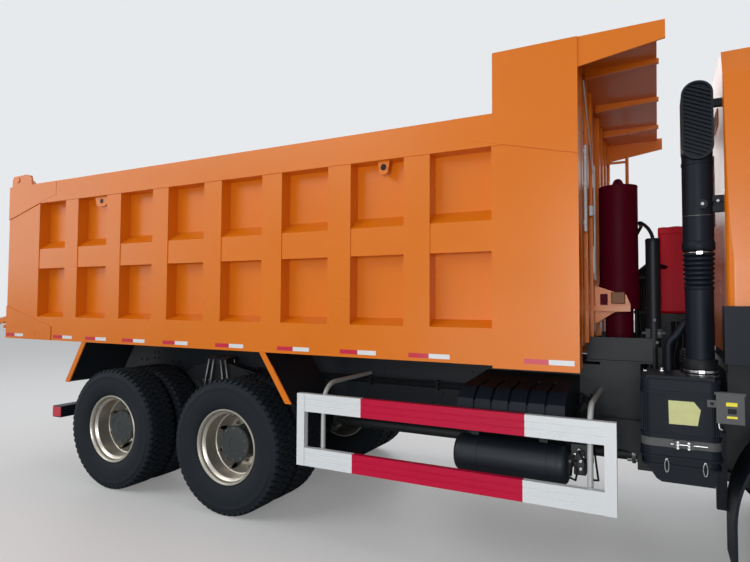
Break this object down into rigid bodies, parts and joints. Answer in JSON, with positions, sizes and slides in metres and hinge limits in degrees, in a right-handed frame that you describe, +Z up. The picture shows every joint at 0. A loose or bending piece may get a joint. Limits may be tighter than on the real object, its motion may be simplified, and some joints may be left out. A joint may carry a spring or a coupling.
{
  "type": "dump truck",
  "caption": "Heavy cab-over dump truck with a ribbed side-walled tipping bed, front telescopic hoist, tilting cab, twin rear wheels and steered front wheels.",
  "frame": {"origin": "on the ground, under the middle of the truck's length and width", "axes": "+X points forward along the truck, +Y to its left, +Z up"},
  "size_m": [8.72, 2.8, 3.278],
  "materials": {
    "black_plastic": "satin",
    "cast": "matte",
    "frame_paint": "satin",
    "glass": "clear",
    "lens": "gloss",
    "maroon_paint": "gloss",
    "orange_paint": "gloss",
    "red_paint": "gloss",
    "silver_paint": "satin",
    "steel": "satin",
    "trim": "matte",
    "tyre": "matte",
    "white_paint": "gloss"
  },
  "bodies": {
    "chassis": {"frame_rails": "frame_paint", "frame_cross_members": "frame_paint", "subframe": "frame_paint", "front_axle": "cast", "rear_axles": "cast", "rear_suspension": "cast", "engine": "cast", "battery_box": "black_plastic", "air_tanks": "frame_paint", "fuel_tank": "frame_paint", "air_intake": "black_plastic", "oil_tank": "red_paint", "oil_tank_stand": "frame_paint", "exhaust": "frame_paint", "side_guards": "white_paint", "rear_guard": "frame_paint", "front_bumper": "orange_paint", "headlamps": "lens", "front_mudguards": "black_plastic", "cab_steps": "black_plastic"},
    "cab": {"cab_roof": "orange_paint", "cab_walls": "orange_paint", "cab_floor": "frame_paint", "cab_front": "orange_paint", "cab_glass": "glass", "cab_interior": "trim", "cab_trim": "black_plastic", "mirrors": "black_plastic", "snorkel": "black_plastic"},
    "door_left": {"door_left": "orange_paint", "door_glass_left": "glass"},
    "door_right": {"door_right": "orange_paint", "door_glass_right": "glass"},
    "bed": {"bed_floor": "orange_paint", "bed_beams": "orange_paint", "bed_cross_beams": "orange_paint", "bed_sides": "orange_paint", "headboard": "orange_paint", "canopy": "orange_paint", "splash_plates": "frame_paint"},
    "tailgate": {"tailgate": "orange_paint"},
    "hoist_base": {"hoist_base": "maroon_paint"},
    "hoist_stage_1": {"hoist_stage_1": "steel"},
    "hoist_stage_2": {"hoist_stage_2": "steel"},
    "hoist_stage_3": {"hoist_stage_3": "steel"},
    "hoist_cover": {"hoist_cover": "maroon_paint"},
    "knuckle_left": {"knuckle_left": "cast"},
    "knuckle_right": {"knuckle_right": "cast"},
    "front_wheel_left": {"front_left_rim": "silver_paint", "front_left_tyre": "tyre"},
    "front_wheel_right": {"front_right_rim": "silver_paint", "front_right_tyre": "tyre"},
    "rear_wheels_1_left": {"rear_1_left_rims": "silver_paint", "rear_1_left_tyres": "tyre"},
    "rear_wheels_1_right": {"rear_1_right_rims": "silver_paint", "rear_1_right_tyres": "tyre"},
    "rear_wheels_2_left": {"rear_2_left_rims": "silver_paint", "rear_2_left_tyres": "tyre"},
    "rear_wheels_2_right": {"rear_2_right_rims": "silver_paint", "rear_2_right_tyres": "tyre"}
  },
  "joints": [
    {"name": "bed_tip", "type": "hinge", "parent": "chassis", "child": "bed", "pos_m": [-3.6, 0, 1.2], "axis": [0, -1, 0], "range_deg": [0, 45]},
    {"name": "tailgate_swing", "type": "hinge", "parent": "bed", "child": "tailgate", "pos_m": [-4.075, 0, 2.985], "axis": [0, 1, 0], "range_deg": [0, 70]},
    {"name": "cab_tilt", "type": "hinge", "parent": "chassis", "child": "cab", "pos_m": [4.18, 0, 0.98], "axis": [0, 1, 0], "range_deg": [0, 50]},
    {"name": "door_left_swing", "type": "hinge", "parent": "cab", "child": "door_left", "pos_m": [4.09, 1.172, 2], "axis": [0, 0, -1], "range_deg": [0, 70]},
    {"name": "door_right_swing", "type": "hinge", "parent": "cab", "child": "door_right", "pos_m": [4.09, -1.172, 2], "axis": [0, 0, 1], "range_deg": [0, 70]},
    {"name": "steer_left", "type": "hinge", "parent": "chassis", "child": "knuckle_left", "pos_m": [2.88, 0.86, 0.538], "axis": [0, 0, 1], "range_deg": [-36, 36]},
    {"name": "steer_right", "type": "hinge", "parent": "chassis", "child": "knuckle_right", "pos_m": [2.88, -0.86, 0.538], "axis": [0, 0, 1], "range_deg": [-36, 36]},
    {"name": "front_left_spin", "type": "hinge", "parent": "knuckle_left", "child": "front_wheel_left", "pos_m": [2.88, 1.011, 0.538], "axis": [0, 1, 0], "continuous": true},
    {"name": "front_right_spin", "type": "hinge", "parent": "knuckle_right", "child": "front_wheel_right", "pos_m": [2.88, -1.011, 0.538], "axis": [0, 1, 0], "continuous": true},
    {"name": "rear_1_left_spin", "type": "hinge", "parent": "chassis", "child": "rear_wheels_1_left", "pos_m": [-1.22, 0.92, 0.538], "axis": [0, 1, 0], "continuous": true},
    {"name": "rear_1_right_spin", "type": "hinge", "parent": "chassis", "child": "rear_wheels_1_right", "pos_m": [-1.22, -0.92, 0.538], "axis": [0, 1, 0], "continuous": true},
    {"name": "rear_2_left_spin", "type": "hinge", "parent": "chassis", "child": "rear_wheels_2_left", "pos_m": [-2.57, 0.92, 0.538], "axis": [0, 1, 0], "continuous": true},
    {"name": "rear_2_right_spin", "type": "hinge", "parent": "chassis", "child": "rear_wheels_2_right", "pos_m": [-2.57, -0.92, 0.538], "axis": [0, 1, 0], "continuous": true},
    {"name": "hoist_lean", "type": "hinge", "parent": "chassis", "child": "hoist_base", "pos_m": [1.61, 0, 1.25], "axis": [0, -1, 0], "range_deg": [0, 25.7]},
    {"name": "hoist_stage_1_slide", "type": "slide", "parent": "hoist_base", "child": "hoist_stage_1", "axis": [0, 0, 1], "range_m": [0, 1.0019]},
    {"name": "hoist_stage_2_slide", "type": "slide", "parent": "hoist_stage_1", "child": "hoist_stage_2", "axis": [0, 0, 1], "range_m": [0, 1.0019]},
    {"name": "hoist_stage_3_slide", "type": "slide", "parent": "hoist_stage_2", "child": "hoist_stage_3", "axis": [0, 0, 1], "range_m": [0, 1.0019]},
    {"name": "hoist_cover_slide", "type": "slide", "parent": "hoist_stage_3", "child": "hoist_cover", "axis": [0, 0, 1], "range_m": [0, 1.0019]}
  ],
  "couplings": [
    {"joint": "steer_right", "follows": "steer_left", "ratio": 1},
    {"joint": "hoist_lean", "follows": "bed_tip", "ratio": 0.57},
    {"joint": "hoist_stage_1_slide", "follows": "bed_tip", "m_per_rad": 1.275},
    {"joint": "hoist_stage_2_slide", "follows": "bed_tip", "m_per_rad": 1.275},
    {"joint": "hoist_stage_3_slide", "follows": "bed_tip", "m_per_rad": 1.275},
    {"joint": "hoist_cover_slide", "follows": "bed_tip", "m_per_rad": 1.275}
  ]
}
